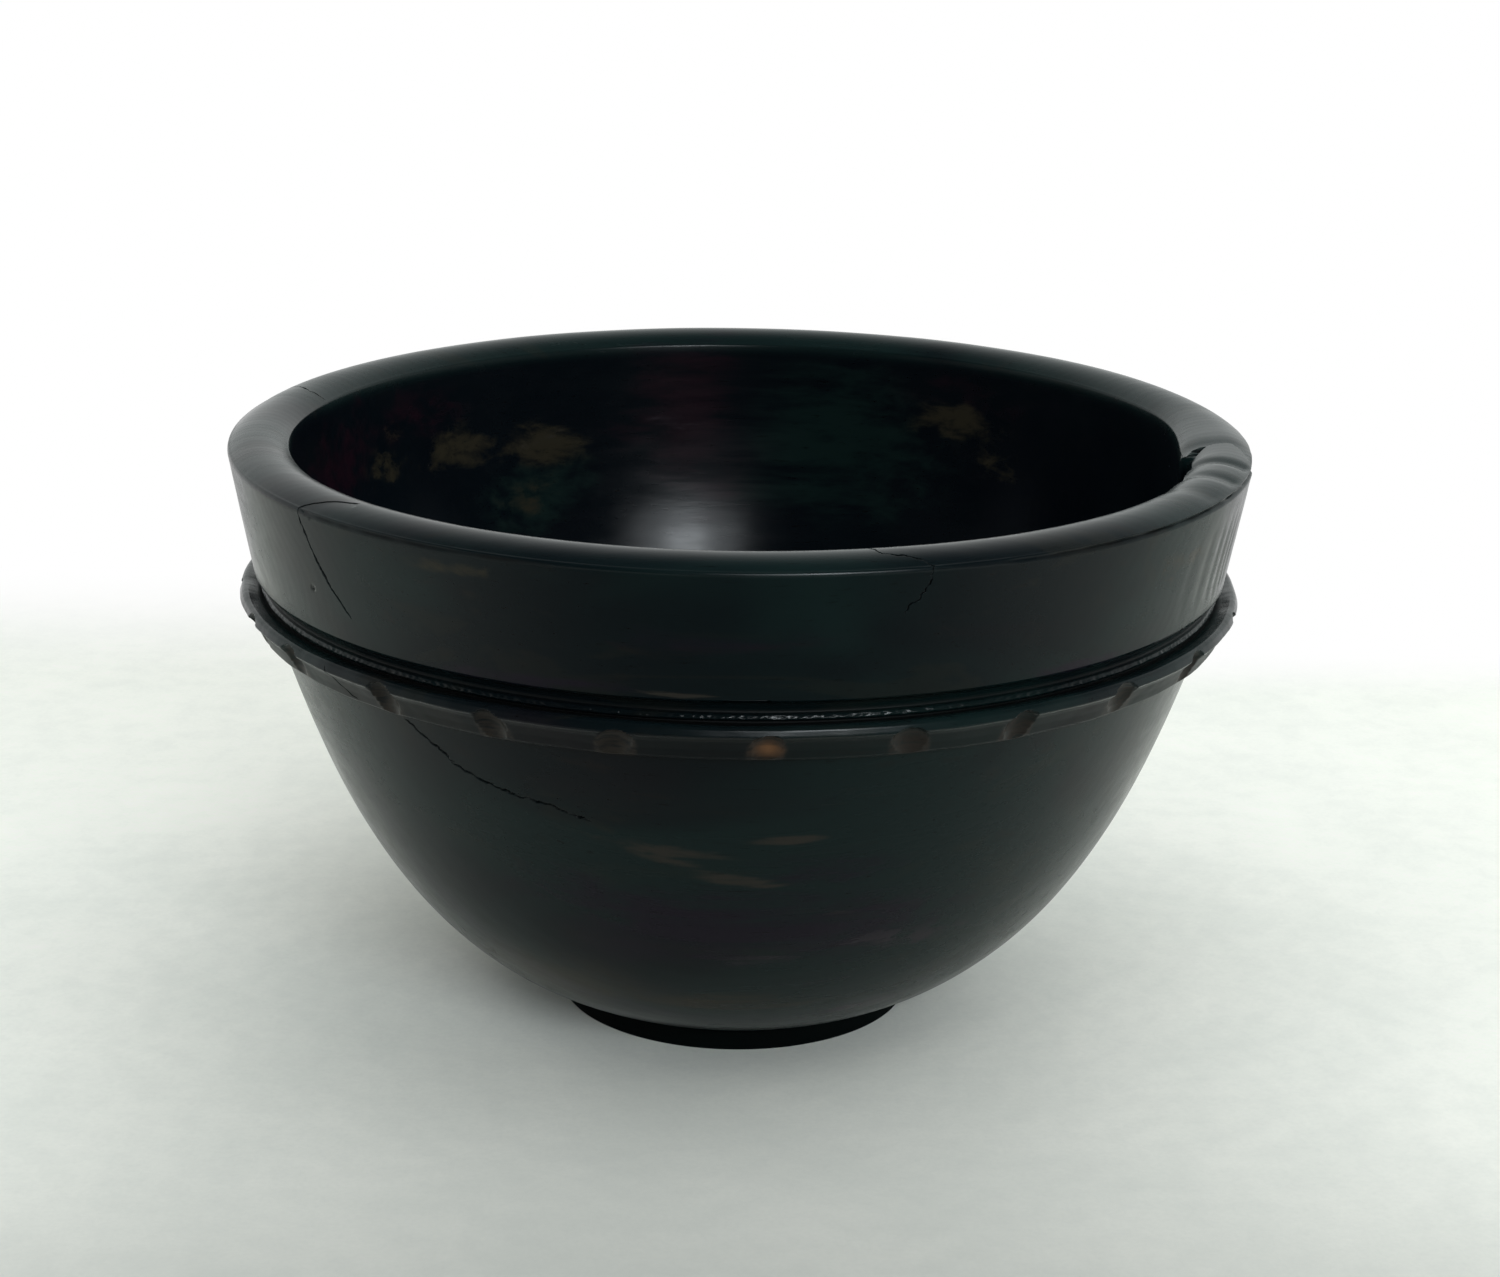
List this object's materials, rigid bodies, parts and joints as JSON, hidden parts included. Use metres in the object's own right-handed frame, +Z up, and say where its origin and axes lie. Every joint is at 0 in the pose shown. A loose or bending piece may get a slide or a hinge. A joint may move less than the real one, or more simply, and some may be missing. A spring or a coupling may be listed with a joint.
{
  "type": "turned and carved wooden bowl",
  "caption": "Deep round wooden bowl with a rounded lip, a flared band, a ridged groove, a ring of gouge cuts and a small turned foot.",
  "frame": {"origin": "centre of the foot's flat underside, on the turning axis", "axes": "+Z up along the turning axis; the wood's grain runs along X; -Y is the front"},
  "size_m": [0.2, 0.2, 0.1179],
  "materials": {
    "foot_wood": "dull, near-black stained wood",
    "body_wood": "satin, near-black stained and waxed wood, grain along X",
    "carved_wood": "satin, near-black stained wood with tool marks",
    "lip_wood": "satin, near-black stained wood, handled and slightly shinier"
  },
  "bodies": {
    "root": {"foot": "foot_wood", "bowl_wall": "body_wood", "carved_ring": "carved_wood", "ridge_fillet": "carved_wood", "upper_band": "body_wood", "rim_lip": "lip_wood"}
  },
  "joints": []
}
